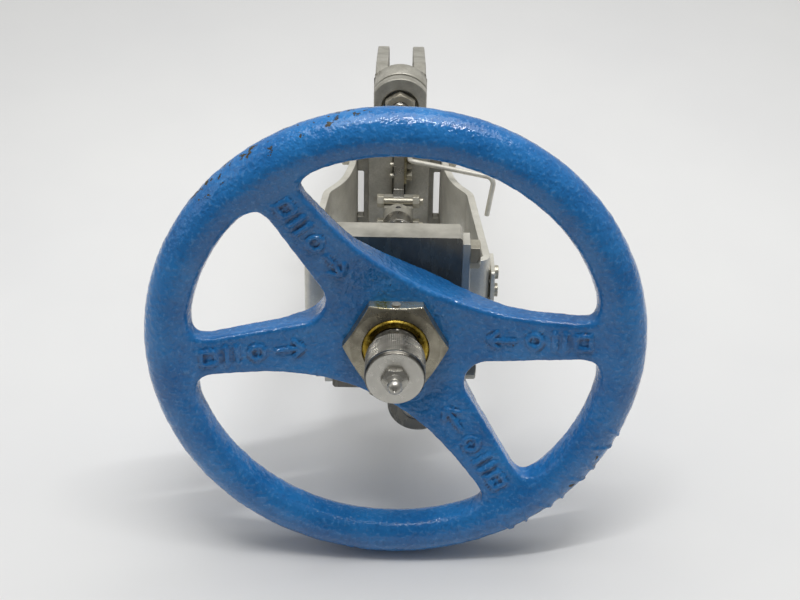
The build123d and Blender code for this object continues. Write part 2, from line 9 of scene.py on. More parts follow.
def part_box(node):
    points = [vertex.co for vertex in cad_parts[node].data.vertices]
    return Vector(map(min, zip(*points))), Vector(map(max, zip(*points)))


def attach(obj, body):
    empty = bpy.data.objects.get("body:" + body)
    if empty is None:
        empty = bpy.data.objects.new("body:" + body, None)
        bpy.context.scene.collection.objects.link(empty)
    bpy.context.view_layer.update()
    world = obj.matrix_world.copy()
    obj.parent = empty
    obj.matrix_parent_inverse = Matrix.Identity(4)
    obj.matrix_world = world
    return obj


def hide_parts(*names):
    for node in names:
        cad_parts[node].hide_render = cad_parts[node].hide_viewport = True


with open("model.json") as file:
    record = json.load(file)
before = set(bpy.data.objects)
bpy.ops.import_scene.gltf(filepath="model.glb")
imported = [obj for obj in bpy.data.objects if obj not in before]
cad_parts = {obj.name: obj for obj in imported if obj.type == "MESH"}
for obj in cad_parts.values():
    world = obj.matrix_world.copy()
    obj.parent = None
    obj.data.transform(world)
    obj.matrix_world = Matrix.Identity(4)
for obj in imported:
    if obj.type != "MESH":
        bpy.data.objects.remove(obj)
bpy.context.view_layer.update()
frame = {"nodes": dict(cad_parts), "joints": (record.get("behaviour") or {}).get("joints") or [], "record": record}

# Looks of the knife gate valve. Lengths are in millimetres, in the valve's upright frame: +Z runs up
# the stem from the centre of the bore, and X is the pipe axis. row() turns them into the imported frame,
# in metres, where the valve lies on its side with the stem along -Y.
MM = 0.001


def upright_box(node):
    """A CAD node's box in upright millimetres: (x0, x1, y0, y1, z0, z1)."""
    low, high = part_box(node)
    return (low.x / MM, high.x / MM, low.z / MM, high.z / MM, -high.y / MM, -low.y / MM)


# ---- Places and sizes, from the frame ----
JOINT_POS = {j["name"]: j.get("pos_m") for j in frame["joints"]}
WHEEL = upright_box("handwheel")
RIM_Z = -JOINT_POS["handwheel_spin"][1] / MM
TUBE_R = WHEEL[5] - RIM_Z
RIM_R = WHEEL[1] - TUBE_R
LOCK_NUT = upright_box("lock_nut")
SPOKE_TOP = LOCK_NUT[4]
HUB_BOTTOM = WHEEL[4]
CAP = upright_box("stem_cap")
CAP_R = CAP[1]
CAP_TOP = CAP[5]
STEM = upright_box("stem")
STEM_R = STEM[1]

# ---- The wheel's casting, which the frame only outlines ----
SPOKE_ANGLES = (3.9, 125.0, 183.9, 305.0)
SPOKE_HUB_HALF = 16.0
SPOKE_RIM_HALF = 9.0
WIDE_WEB_R = 136.0
NARROW_WEB_R = 13.0
FACE_RADII = (35.0, 104.3)                 # the front face slopes forward between these radii
FACE_TOPS = (SPOKE_TOP, SPOKE_TOP + 10.4)
BACK_RADII = (27.0, 40.0, 58.0, 104.3)
BACK_TOPS = (HUB_BOTTOM, 255.0, 264.4, 273.5)
EDGE_R = 2.2                               # rounding of the spokes' and webs' edges
WEB_TO_RIM = 16.0                          # rounding in plan where the spokes meet the rim
SPOKE_TO_RIM = 7.0                         # rounding between the spokes' faces and the rim's tube
BORE_R = 16.9
MARK_H = 1.1                               # raised marks stand this far off the casting
MARK_EDGE = 0.55
MARK_HALF = 1.0                            # half the width of a mark's strokes
MARK_SIZE = 4.6                            # half the height of a mark
RIB_COUNT = 8                              # short raised ribs on the rim, of an old casting mark
RIB_START_DEG = -60.0
RIB_STEP_DEG = 5.5
RIB_HALF = 0.9
RIB_REACH = 5.0
RIB_LEAN = 0.35
NET_STEP = 1.15                            # cell of the casting's mesh
CAST_NOISE = ((60.0, 0.3), (5.0, 0.2), (2.4, 0.15))
HUB_SMOOTH_R = 24.0                        # the casting is smooth inside this radius, under the nut
HUB_BLEND = 6.0

# ---- Threads and the cap ----
STEM_PITCH = 5.0
STEM_THREAD_DEPTH = 2.4
STEM_SHOULDER_Z = 153.0
STUD_PITCH = 1.5
STUD_THREAD_DEPTH = 0.75
KNURL_TEETH = 92
KNURL_DEPTH = 0.5
KNURL_ROWS = 84
NIPPLE_FLATS = 12.0
NIPPLE_HEX_H = 3.6


# ---- Meshes ----
def row(points):
    """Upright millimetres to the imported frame's metres."""
    p = np.asarray(points, float).reshape(-1, 3)
    return np.stack([p[:, 0], -p[:, 2], p[:, 1]], axis=1) * MM


def add_piece(name, points, faces, surface, body, replaces=(), sharp_deg=35.0):
    """Makes a mesh piece from upright points and lets it ride on a body."""
    mesh = bpy.data.meshes.new(name)
    mesh.from_pydata(row(points).tolist(), [], [list(map(int, f)) for f in faces])
    mesh.validate()
    mesh.update()
    mesh.polygons.foreach_set("use_smooth", [True] * len(mesh.polygons))
    mesh.set_sharp_from_angle(angle=math.radians(sharp_deg))
    mesh.materials.append(surface)
    piece = bpy.data.objects.new(name, mesh)
    bpy.context.scene.collection.objects.link(piece)
    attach(piece, body)
    if replaces:
        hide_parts(*replaces)
    return piece


class Shape:
    """Points and faces collected from several solids, so that like pieces share one mesh."""

    def __init__(self):
        self.points = []
        self.faces = []

    def add(self, points, faces, shift=(0, 0, 0)):
        start = len(self.points)
        self.points.extend([tuple(Vector(p) + Vector(shift)) for p in points])
        self.faces.extend([tuple(start + i for i in f) for f in faces])

    def piece(self, name, surface, body, slot, replaces=(), sharp_deg=35.0):
        return add_piece(name, self.points, self.faces, surface, body, replaces, sharp_deg)


def grid_faces(rows, columns):
    """Quads of a grid whose columns close into a ring."""
    faces = []
    for i in range(rows - 1):
        for j in range(columns):
            k = (j + 1) % columns
            low, high = i * columns, (i + 1) * columns
            faces.append((low + j, low + k, high + k, high + j))
    return faces


def lathe(profile, segments):
    """A solid of revolution round Z from (radius, z) points, bottom first, closed by flat ends."""
    points = []
    for radius, z in profile:
        for j in range(segments):
            a = 2 * math.pi * j / segments
            points.append((radius * math.cos(a), radius * math.sin(a), z))
    faces = grid_faces(len(profile), segments)
    faces.append(tuple(range(segments))[::-1])
    top = (len(profile) - 1) * segments
    faces.append(tuple(range(top, top + segments)))
    return points, faces


def hex_radius(angle, flats):
    """Distance from the axis to a hexagon's side, two corners on X."""
    within = (angle % (math.pi / 3)) - math.pi / 6
    return flats / 2 / math.cos(within)


def hex_solid(flats, height, top_cut=0.8, per_side=10):
    """A hexagon standing on the origin, its top corners cut by a 30 degree cone."""
    count = 6 * per_side
    angles = [2 * math.pi * j / count for j in range(count)]
    slope = math.tan(math.radians(30))
    edge = [hex_radius(a, flats) for a in angles]
    inner = flats / 2 * top_cut
    soft = 0.02 * flats
    top_edge = [height - (r - inner) * slope for r in edge]

    def ring(radii, zs):
        return [(r * math.cos(a), r * math.sin(a), z) for r, a, z in zip(radii, angles, zs)]

    rings = [
        ring(edge, [0.0] * count),
        ring(edge, [z - soft for z in top_edge]),
        ring([r - soft / 2 for r in edge], top_edge),
        ring([inner] * count, [height] * count),
    ]
    points = [p for r in rings for p in r]
    faces = grid_faces(len(rings), count)
    last = (len(rings) - 1) * count
    faces.append(tuple(range(count))[::-1])
    faces.append(tuple(range(last, last + count)))
    return points, faces


def thread(major_r, depth, pitch, z0, z1, flat_share=0.35, left_hand=False, segments=48, per_pitch=10):
    """A solid rod from z0 to z1 with a helical thread cut into it."""
    rows = max(2, int((z1 - z0) / pitch * per_pitch) + 1)
    hand = -1 if left_hand else 1
    zs = np.linspace(z0, z1, rows)
    angles = np.arange(segments) * 2 * math.pi / segments
    phase = (zs[:, None] / pitch - hand * angles[None, :] / (2 * math.pi)) % 1.0
    rise = np.abs(phase - 0.5) * 2
    ramp = np.clip((rise - flat_share) / (1 - 2 * flat_share), 0, 1)
    fade = np.clip(np.minimum(zs - z0, z1 - zs) / pitch, 0, 1)[:, None]
    radius = major_r - depth * ramp * fade - depth * 0.6 * (1 - fade) * (fade < 0.15)
    x = radius * np.cos(angles)
    y = radius * np.sin(angles)
    z = np.repeat(zs[:, None], segments, axis=1)
    points = np.stack([x, y, z], axis=-1).reshape(-1, 3).tolist()
    faces = grid_faces(rows, segments)
    faces.append(tuple(range(segments))[::-1])
    last = (rows - 1) * segments
    faces.append(tuple(range(last, last + segments)))
    return points, faces


# ---- Smooth cast shapes from distance functions ----
def smooth_min(a, b, k):
    """The smaller of two distances, rounded where they meet."""
    h = np.clip(0.5 + 0.5 * (b - a) / k, 0, 1)
    return b + (a - b) * h - k * h * (1 - h)


def rounded_slab(plan, height, half, rounding):
    """Distance to a plate of a given plan, with rounded edges."""
    qx = plan + rounding
    qz = np.abs(height) - half + rounding
    outside = np.hypot(np.maximum(qx, 0), np.maximum(qz, 0))
    return np.minimum(np.maximum(qx, qz), 0) + outside - rounding


def surface_net(distance, low, high, step):
    """Quad mesh of a distance function's zero surface inside a box."""
    axes = [np.arange(a, b + step, step) for a, b in zip(low, high)]
    grid = np.meshgrid(*axes, indexing="ij")
    values = distance(np.stack(grid, axis=-1))
    shape = np.array(values.shape) - 1
    total = np.zeros(tuple(shape) + (3,))
    count = np.zeros(tuple(shape))
    corners = [np.array(c) for c in np.ndindex(2, 2, 2)]
    for a in corners:
        for axis in range(3):
            if a[axis]:
                continue
            b = a.copy()
            b[axis] = 1
            va = values[tuple(slice(s, s + n) for s, n in zip(a, shape))]
            vb = values[tuple(slice(s, s + n) for s, n in zip(b, shape))]
            crosses = (va < 0) != (vb < 0)
            share = np.where(crosses, va / np.where(crosses, va - vb, 1), 0)
            place = a[None, None, None, :] + share[..., None] * (b - a)
            total += place * crosses[..., None]
            count += crosses
    active = count > 0
    index = -np.ones(tuple(shape), int)
    index[active] = np.arange(active.sum())
    cell = np.stack(np.nonzero(active), axis=1)
    points = np.array(low) + (cell + total[active] / count[active][:, None]) * step
    faces = []
    for axis in range(3):
        u, v = (axis + 1) % 3, (axis + 2) % 3
        first = [slice(1, n) for n in shape]
        first[axis] = slice(0, shape[axis])
        second = list(first)
        second[axis] = slice(1, shape[axis] + 1)
        va, vb = values[tuple(first)], values[tuple(second)]
        edges = np.stack(np.nonzero((va < 0) != (vb < 0)), axis=1)
        flip = (va < 0)[tuple(edges.T)]
        base = edges + np.array([0 if i == axis else 1 for i in range(3)])
        ring = []
        for du, dv in ((0, 0), (1, 0), (1, 1), (0, 1)):
            c = base.copy()
            c[:, u] -= du
            c[:, v] -= dv
            ring.append(index[tuple(c.T)])
        quad = np.stack(ring, axis=1)
        quad[flip] = quad[flip][:, ::-1]
        faces.append(quad[:, ::-1])
    return points, np.concatenate(faces)


def settle_on(distance, points, rounds=4):
    """Moves points onto the zero surface and returns them with their outward directions."""
    probe = 0.02
    steps = probe * np.eye(3)
    for _ in range(rounds):
        d = distance(points)
        rises = [distance(points + step) - distance(points - step) for step in steps]
        slope = np.stack([rise / (2 * probe) for rise in rises], axis=1)
        size = np.maximum((slope**2).sum(axis=1), 0.25)
        points = points - np.clip(d / size, -1, 1)[:, None] * slope
    return points, slope / np.sqrt(np.maximum((slope**2).sum(axis=1), 1e-9))[:, None]


def roughen(points, outward, layers):
    """Pushes points in and out by layers of noise, each a (size, height) pair."""
    push = np.zeros(len(points))
    for size, height in layers:
        push += height * np.array([noise.noise(Vector(p) / size) for p in points])
    return points + outward * push[:, None]


# ---- Materials ----
def screen(r, g, b):
    """A colour given as 0-255 screen values, in linear light."""
    return tuple(((c / 255 + 0.055) / 1.055) ** 2.4 for c in (r, g, b)) + (1.0,)


class Surface:
    """A Principled material whose colour, roughness and bump come from nodes in object space."""

    def __init__(self, name, metallic=0.0, coat=0.0, coat_roughness=0.1, specular=0.5):
        self.material = bpy.data.materials.new(name)
        self.material.use_nodes = True
        self.tree = self.material.node_tree
        self.shader = self.tree.nodes["Principled BSDF"]
        self.shader.inputs["Metallic"].default_value = metallic
        self.shader.inputs["Coat Weight"].default_value = coat
        self.shader.inputs["Coat Roughness"].default_value = coat_roughness
        self.shader.inputs["Specular IOR Level"].default_value = specular
        coords = self.node("ShaderNodeTexCoord")
        self.place = coords.outputs["Object"]
        self.facing = coords.outputs["Normal"]

    def node(self, kind, inputs=None, **settings):
        made = self.tree.nodes.new(kind)
        for key, value in settings.items():
            setattr(made, key, value)
        for key, value in (inputs or {}).items():
            if isinstance(value, bpy.types.NodeSocket):
                self.tree.links.new(value, made.inputs[key])
            else:
                made.inputs[key].default_value = value
        return made

    def noise(self, cell_mm, detail=3.0, stretch=None, rough=0.55, distortion=0.0):
        """Noise whose cells are about cell_mm across, stretched along the row axes if asked."""
        place = self.place
        if stretch:
            place = self.node("ShaderNodeMapping", {"Vector": place, "Scale": stretch}).outputs["Vector"]
        inputs = {
            "Vector": place,
            "Scale": 1 / (cell_mm * MM),
            "Detail": detail,
            "Roughness": rough,
            "Distortion": distortion,
        }
        return self.node("ShaderNodeTexNoise", inputs).outputs["Fac"]

    def calc(self, operation, a, b=0.0):
        return self.node("ShaderNodeMath", {0: a, 1: b}, operation=operation).outputs[0]

    def level(self, value, low, high, out_low=0.0, out_high=1.0):
        """value from low to high becomes out_low to out_high, and no more."""
        inputs = {"Value": value, "From Min": low, "From Max": high, "To Min": out_low, "To Max": out_high}
        return self.node("ShaderNodeMapRange", inputs).outputs["Result"]

    def ramp(self, value, *stops):
        made = self.node("ShaderNodeValToRGB", {"Fac": value})
        elements = made.color_ramp.elements
        while len(elements) < len(stops):
            elements.new(0.5)
        for element, (position, colour) in zip(elements, stops):
            element.position = position
            element.color = colour
        return made.outputs["Color"]

    def blend(self, a, b, share):
        inputs = {"Fac": share, "Color1": a, "Color2": b}
        return self.node("ShaderNodeMixRGB", inputs).outputs["Color"]

    def parts(self, vector):
        """The X, Y and Z of a vector."""
        return self.node("ShaderNodeSeparateXYZ", {"Vector": vector}).outputs

    def radius(self):
        """Distance from the stem's axis, in metres."""
        xyz = self.parts(self.place)
        across = self.calc("MULTIPLY", xyz[0], xyz[0])
        up = self.calc("MULTIPLY", xyz[2], xyz[2])
        return self.calc("SQRT", self.calc("ADD", across, up))

    def radius_from(self, x, y):
        """Distance in plan from a place on the floor, in metres."""
        xyz = self.parts(self.place)
        across = self.calc("POWER", self.calc("SUBTRACT", xyz[0], x), 2.0)
        away = self.calc("POWER", self.calc("SUBTRACT", xyz[1], y), 2.0)
        return self.calc("SQRT", self.calc("ADD", across, away))

    def rings(self, cell_mm, detail=2.0):
        """Turning marks round the stem's axis."""
        inputs = {"W": self.radius(), "Scale": 1 / (cell_mm * MM), "Detail": detail}
        return self.node("ShaderNodeTexNoise", inputs, noise_dimensions="1D").outputs["Fac"]

    def bump(self, *layers):
        """Chains (height, depth in mm) layers into the normal."""
        normal = None
        for height, depth_mm in layers:
            inputs = {"Height": height, "Distance": depth_mm * MM, "Strength": 1.0}
            if normal:
                inputs["Normal"] = normal
            normal = self.node("ShaderNodeBump", inputs).outputs["Normal"]
        self.tree.links.new(normal, self.shader.inputs["Normal"])

    def set(self, colour, roughness):
        self.tree.links.new(colour, self.shader.inputs["Base Color"])
        self.tree.links.new(roughness, self.shader.inputs["Roughness"])
        return self.material


STAIN_SHARE = 0.35
RUST = screen(66, 60, 40)
RUST_DARK = screen(36, 34, 26)
KNOCKS = ((-42, 0.19), (118, 0.16))        # (angle in degrees, weight) of the worn places on the rim


def knocked_edge(s):
    """How much the paint has been knocked off: most at the rim's outer edge, on two sides of the wheel."""
    xyz = s.parts(s.place)
    edge = s.level(s.radius(), (RIM_R + 2) * MM, (RIM_R + TUBE_R) * MM)
    knocked = 0.0
    for degrees, weight in KNOCKS:
        knock = math.radians(degrees)
        across = s.calc("MULTIPLY", xyz[0], math.cos(knock))
        up = s.calc("MULTIPLY", xyz[2], math.sin(knock))
        near = s.level(s.calc("ADD", across, up), 0.85 * RIM_R * MM, RIM_R * MM, 0.0, weight)
        knocked = s.calc("ADD", near, knocked)
    return s.calc("MULTIPLY", knocked, edge)


def blue_enamel():
    """Glossy brushed-on enamel over a rough casting, chipped down to rust at the rim, with painted highlights and
    painted shade on its pebbles and painted shade in its creases.
    """
    s = Surface("blue_enamel", specular=0.4, coat=0.3, coat_roughness=0.03)
    cloud = s.noise(26, 3)
    colour = s.ramp(cloud, (0.3, screen(28, 102, 168)), (0.7, screen(46, 128, 196)))
    pebble = s.noise(2.0, 1)
    fine = s.noise(0.9, 1)
    # Painted highlights and shade: the pebbles' tops are painted a pale blue and their hollows a dark blue; the
    # same pebbles also make the bump.
    colour = s.blend(colour, screen(104, 164, 218), s.level(pebble, 0.58, 0.74, 0.0, 0.35))
    colour = s.blend(colour, screen(18, 58, 108), s.level(pebble, 0.44, 0.3, 0.0, 0.2))
    # Painted shade: concave places, found by the mesh's pointiness, are painted dark blue.
    hollow = s.node("ShaderNodeNewGeometry").outputs["Pointiness"]
    colour = s.blend(colour, screen(14, 44, 84), s.level(hollow, 0.485, 0.455, 0.0, 0.75))
    blotch = s.noise(5.5, 4, rough=0.62)
    chipped = s.level(s.calc("ADD", blotch, knocked_edge(s)), 0.735, 0.75)
    rust = s.ramp(s.noise(1.6, 4), (0.35, RUST_DARK), (0.6, RUST), (0.8, screen(96, 92, 62)))
    colour = s.blend(colour, rust, chipped)
    gloss = s.level(s.noise(7, 3), 0.3, 0.7, 0.06, 0.15)
    roughness = s.blend(gloss, (0.75, 0.75, 0.75, 1), chipped)
    s.bump((pebble, 0.5), (fine, 0.06), (s.calc("SUBTRACT", 1.0, chipped), 0.25))
    return s.set(colour, roughness)


def steel(name, dark, light, stain, rough, grain_mm, grain_depth, stretch=None, metallic=0.8):
    """Stainless steel: two greys in clouds, thin brown stains, and a surface grain of the given size."""
    s = Surface(name, metallic=metallic)
    cloud = s.noise(14, 4, rough=0.6)
    grain = s.noise(grain_mm, 4, stretch=stretch, rough=0.65)
    colour = s.ramp(cloud, (0.3, screen(*dark)), (0.7, screen(*light)))
    colour = s.blend(colour, screen(*stain), s.level(s.noise(5, 5), 0.55, 0.75, 0.0, STAIN_SHARE))
    colour = s.blend(colour, screen(*dark), s.level(grain, 0.6, 0.35, 0.0, 0.5))
    smudge = s.noise(9, 5, distortion=0.6)
    roughness = s.level(smudge, 0.3, 0.7, rough[0], rough[1])
    scratch = s.noise(1.4, 2, stretch=(0.06, 1.0, 1.0), distortion=0.4)
    s.bump((grain, grain_depth), (scratch, 0.012))
    return s.set(colour, roughness)


STEELS = {
    "cast_stainless": dict(
        dark=(156, 153, 142), light=(206, 203, 192), stain=(134, 124, 102), rough=(0.42, 0.58),
        grain_mm=0.9, grain_depth=0.09, metallic=0.55,
    ),
    "machined_stainless": dict(
        dark=(150, 148, 141), light=(198, 195, 186), stain=(136, 126, 106), rough=(0.22, 0.38),
        grain_mm=0.5, grain_depth=0.015, stretch=(1.0, 0.08, 1.0),
    ),
    "stainless_sheet": dict(
        dark=(196, 193, 182), light=(228, 225, 214), stain=(180, 172, 154), rough=(0.34, 0.5),
        grain_mm=0.7, grain_depth=0.03, metallic=0.45,
    ),
    "stainless_fastener": dict(
        dark=(158, 153, 138), light=(212, 207, 190), stain=(140, 122, 92), rough=(0.24, 0.4),
        grain_mm=0.8, grain_depth=0.03, metallic=0.55,
    ),
    "stainless_thread": dict(
        dark=(118, 115, 107), light=(168, 165, 157), stain=(84, 75, 58), rough=(0.2, 0.34),
        grain_mm=0.5, grain_depth=0.02,
    ),
    "bearing_steel": dict(
        dark=(90, 90, 92), light=(130, 130, 132), stain=(80, 70, 56), rough=(0.15, 0.25),
        grain_mm=0.4, grain_depth=0.01,
    ),
}


def knurled_stainless():
    """The cap: satin knurl, with fine turning rings on its end face; the end face is painted lighter as a painted
    sheen, and the knurl's grooves are painted dark as painted shade.
    """
    s = Surface("knurled_stainless", metallic=1.0)
    rings = s.rings(0.35, 3)
    cloud = s.noise(6, 4)
    colour = s.ramp(cloud, (0.3, screen(150, 146, 136)), (0.7, screen(196, 191, 179)))
    colour = s.blend(colour, screen(92, 84, 70), s.level(s.noise(1.1, 4), 0.58, 0.75, 0.0, 0.35))
    # Painted sheen: faces turned along the stem, the cap's end face, are painted a pale grey.
    colour = s.blend(screen(214, 212, 205), colour, s.level(s.parts(s.facing)[1], -0.95, -0.8, 0.25, 1.0))
    # Painted shade: the knurl's grooves on the cap's side are painted near black.
    knurl_groove_shade = s.level(s.radius(), (CAP_R - 0.45) * MM, (CAP_R - 0.02) * MM, 0.95, 0.1)
    side = s.level(s.parts(s.facing)[1], -0.75, -0.5)
    colour = s.blend(colour, screen(38, 36, 33), s.calc("MULTIPLY", knurl_groove_shade, side))
    roughness = s.level(s.noise(4, 4), 0.3, 0.7, 0.22, 0.4)
    s.bump((rings, 0.02), (s.noise(0.5, 3), 0.012))
    return s.set(colour, roughness)


def dark_stainless():
    """Machined block: its face under the wheel is painted dark grey in streaks, as painted shade, and made
    glossier; the rest is a scuffed satin grey.
    """
    s = Surface("dark_stainless", metallic=0.3)
    streak_noise = s.noise(7, 4, stretch=(1.0, 1.0, 0.35), rough=0.6)
    # Painted shade: faces turned towards the wheel are painted dark grey in streaks, and made glossier.
    front = s.level(s.calc("MULTIPLY", s.parts(s.facing)[1], -1.0), 0.4, 0.8)
    painted_shade_front = s.calc("MULTIPLY", front, s.level(streak_noise, 0.25, 0.55, 0.75, 1.0))
    clean = s.ramp(s.noise(10, 5), (0.3, screen(150, 147, 136)), (0.7, screen(186, 182, 170)))
    front_shade_colour = s.ramp(streak_noise, (0.35, screen(84, 82, 76)), (0.65, screen(130, 126, 114)))
    colour = s.blend(clean, front_shade_colour, painted_shade_front)
    scuff = s.noise(1.3, 4, stretch=(0.15, 1.0, 1.0))
    colour = s.blend(colour, screen(176, 170, 156), s.level(scuff, 0.66, 0.78, 0.0, 0.5))
    roughness = s.blend(s.level(streak_noise, 0.3, 0.7, 0.34, 0.5), s.level(streak_noise, 0.3, 0.7, 0.2, 0.32), painted_shade_front)
    s.bump((scuff, 0.03), (s.noise(0.6, 3), 0.02))
    return s.set(colour, roughness)


def brass():
    s = Surface("brass", metallic=1.0)
    rings = s.rings(0.5, 3)
    tarnish = s.noise(3.5, 4)
    colour = s.ramp(tarnish, (0.35, screen(150, 122, 40)), (0.65, screen(204, 178, 84)))
    colour = s.blend(colour, screen(70, 56, 24), s.level(s.noise(1.8, 4), 0.6, 0.75, 0.0, 0.6))
    roughness = s.level(tarnish, 0.3, 0.7, 0.18, 0.34)
    s.bump((rings, 0.04), (s.noise(0.6, 3), 0.01))
    return s.set(colour, roughness)


def zinc_plate():
    """Yellow passivated zinc, uneven from olive to straw."""
    s = Surface("zinc_plate", metallic=1.0)
    drift = s.noise(2.6, 4, distortion=0.8)
    colour = s.ramp(
        drift, (0.3, screen(128, 121, 96)), (0.5, screen(176, 168, 138)), (0.7, screen(192, 182, 160))
    )
    roughness = s.level(s.noise(3, 3), 0.3, 0.7, 0.24, 0.42)
    s.bump((s.noise(0.7, 3), 0.02))
    return s.set(colour, roughness)


def packing_braid():
    """Square plaited fibre: two crossed wave patterns."""
    s = Surface("packing_braid")
    strands = []
    for turn in (0.7, -0.7):
        turned = s.node("ShaderNodeMapping", {"Vector": s.place, "Rotation": (turn, turn, turn)})
        inputs = {"Vector": turned.outputs["Vector"], "Scale": 180.0, "Distortion": 0.6}
        wave = s.node("ShaderNodeTexWave", inputs)
        strands.append(wave.outputs["Fac"])
    braid = s.calc("MAXIMUM", strands[0], strands[1])
    colour = s.ramp(braid, (0.2, screen(120, 114, 100)), (0.9, screen(206, 200, 184)))
    roughness = s.level(s.noise(1, 3), 0.3, 0.7, 0.75, 0.95)
    s.bump((braid, 0.4), (s.noise(0.3, 2), 0.05))
    return s.set(colour, roughness)


def seat_rubber():
    s = Surface("seat_rubber", specular=0.35)
    mottle = s.noise(4, 4)
    colour = s.ramp(mottle, (0.3, screen(30, 30, 31)), (0.7, screen(50, 50, 51)))
    roughness = s.level(mottle, 0.3, 0.7, 0.5, 0.7)
    s.bump((s.noise(0.4, 3), 0.03))
    return s.set(colour, roughness)


def floor_paper():
    """Plain pale paper sheet whose colour falls off into painted shade away from the valve."""
    s = Surface("floor_paper", specular=0.2)
    colour = s.ramp(s.noise(160, 3), (0.3, screen(223, 223, 223)), (0.7, screen(228, 228, 227)))
    # Painted shade: the paper is painted a darker grey with distance from a place near the valve.
    shade = s.level(s.radius_from(0.03, -0.22), 0.30, 0.95, 0.0, 0.6)
    colour = s.blend(colour, screen(150, 150, 148), shade)
    roughness = s.level(s.noise(20, 2), 0.3, 0.7, 0.75, 0.85)
    s.bump((s.noise(0.8, 2), 0.02))
    return s.set(colour, roughness)


def lock_nut_surface():
    """The nut's steel, its upper flat painted lighter as a painted highlight, with a dab of yellow marker on that
    flat.
    """
    s = Surface("lock_nut_steel", metallic=0.85)
    xyz = s.parts(s.place)
    cloud = s.noise(11, 4, rough=0.6)
    colour = s.ramp(cloud, (0.3, screen(118, 112, 99)), (0.7, screen(176, 170, 152)))
    top = s.level(xyz[2], (LOCK_NUT[3] - 1.0) * MM, (LOCK_NUT[3] - 0.3) * MM)
    # Painted highlight: the nut's upper flat is painted a pale grey, as if lit from above; the yellow dab sits on
    # the same flat.
    colour = s.blend(colour, screen(214, 208, 188), top)
    beside = s.level(s.calc("ABSOLUTE", s.calc("ADD", xyz[0], 0.007)), 0.0045, 0.002)
    dab = s.calc("MULTIPLY", s.calc("MULTIPLY", top, beside), s.level(s.noise(1.8, 3), 0.4, 0.55, 0.1, 0.85))
    colour = s.blend(colour, screen(168, 148, 36), dab)
    roughness = s.level(s.noise(6, 4), 0.3, 0.7, 0.2, 0.38)
    s.bump((s.noise(0.8, 4), 0.03), (s.noise(1.4, 2, stretch=(0.06, 1.0, 1.0)), 0.012))
    return s.set(colour, roughness)


MAKERS = {
    "blue_paint": blue_enamel,
    "knurled_stainless": knurled_stainless,
    "dark_stainless": dark_stainless,
    "brass": brass,
    "zinc_plate": zinc_plate,
    "packing_braid": packing_braid,
    "seat_rubber": seat_rubber,
}
SURFACES = {slot: make() for slot, make in MAKERS.items()}
SURFACES.update({slot: steel(slot, **look) for slot, look in STEELS.items()})
LOCK_NUT_SURFACE = lock_nut_surface()


# ---- The handwheel casting ----
def bar(u, v, a, b, half):
    """Distance to a round-ended bar from a to b in the plane."""
    ab = (b[0] - a[0], b[1] - a[1])
    along = ((u - a[0]) * ab[0] + (v - a[1]) * ab[1]) / (ab[0] ** 2 + ab[1] ** 2)
    along = np.clip(along, 0, 1)
    return np.hypot(u - a[0] - along * ab[0], v - a[1] - along * ab[1]) - half


def ring_mark(u, v, centre, radius, half):
    return np.abs(np.hypot(u - centre[0], v - centre[1]) - radius) - half


def spoke_marks(u, v):
    """Raised foundry marks along a spoke that lies on +U: an arrow, a ring, two bars and a square."""
    tip, tail = 46, 60
    marks = [bar(u, v, (tip, 0), (tail, 0), MARK_HALF)]
    for side in (-1, 1):
        marks.append(bar(u, v, (tip, 0), (tip + 5, side * MARK_SIZE), MARK_HALF))
    marks.append(ring_mark(u, v, (69, 0), MARK_SIZE - MARK_HALF, MARK_HALF))
    for place in (79, 84):
        marks.append(bar(u, v, (place, -MARK_SIZE), (place, MARK_SIZE), MARK_HALF))
    square = np.maximum(np.abs(u - 93), np.abs(v)) - MARK_SIZE + MARK_HALF
    marks.append(np.abs(square) - MARK_HALF)
    return np.minimum.reduce(marks)


def spoke_plan(x, y):
    """Distance in plan to the four tapered spokes, and to the foundry marks on them."""
    spokes = np.full(x.shape, 1e3)
    marks = np.full(x.shape, 1e3)
    for degrees in SPOKE_ANGLES:
        a = math.radians(degrees)
        u = x * math.cos(a) + y * math.sin(a)
        v = y * math.cos(a) - x * math.sin(a)
        half = SPOKE_HUB_HALF + (SPOKE_RIM_HALF - SPOKE_HUB_HALF) * np.clip(u / RIM_R, 0, 1)
        spokes = np.minimum(spokes, np.maximum(np.abs(v) - half, -u))
        marks = np.minimum(marks, spoke_marks(u, v))
    return spokes, marks


def web_plan(x, y):
    """Distance in plan to the webs that round the angles between the spokes."""
    webs = np.full(x.shape, 1e3)
    lean = math.atan((SPOKE_HUB_HALF - SPOKE_RIM_HALF) / RIM_R)
    ends = SPOKE_ANGLES[1:] + (SPOKE_ANGLES[0] + 360.0,)
    for start, end in zip(SPOKE_ANGLES, ends):
        middle = math.radians((start + end) / 2)
        opening = math.radians((end - start) / 2) + lean
        radius = WIDE_WEB_R if end - start > 90 else NARROW_WEB_R
        centre = (SPOKE_HUB_HALF * math.cos(lean) + radius) / math.sin(opening)
        along = x * math.cos(middle) + y * math.sin(middle)
        across = y * math.cos(middle) - x * math.sin(middle)
        hollow = np.maximum(radius - np.hypot(along - centre, across), -along)
        beside = np.abs(np.arctan2(across, centre - along)) > math.pi / 2 - opening
        beyond = np.abs(np.arctan2(across, along)) > math.radians((end - start) / 2)
        webs = np.minimum(webs, np.where(beside | beyond, 1e3, hollow))
    return webs


def rim_rib(x, y, z, rim, number):
    """Distance to one of the short ribs on the rim, which lean by turns one way and the other."""
    a = math.radians(RIB_START_DEG + RIB_STEP_DEG * number)
    lean = RIB_LEAN if number % 2 else -RIB_LEAN
    along = (x * math.cos(a) + y * math.sin(a)) - RIM_R
    across = y * math.cos(a) - x * math.sin(a) + lean * (along - 4)
    rib = np.maximum(np.abs(across) - RIB_HALF, np.abs(along - RIB_REACH) - RIB_REACH)
    return np.maximum(rib, np.maximum(rim - MARK_H, RIM_Z - z))


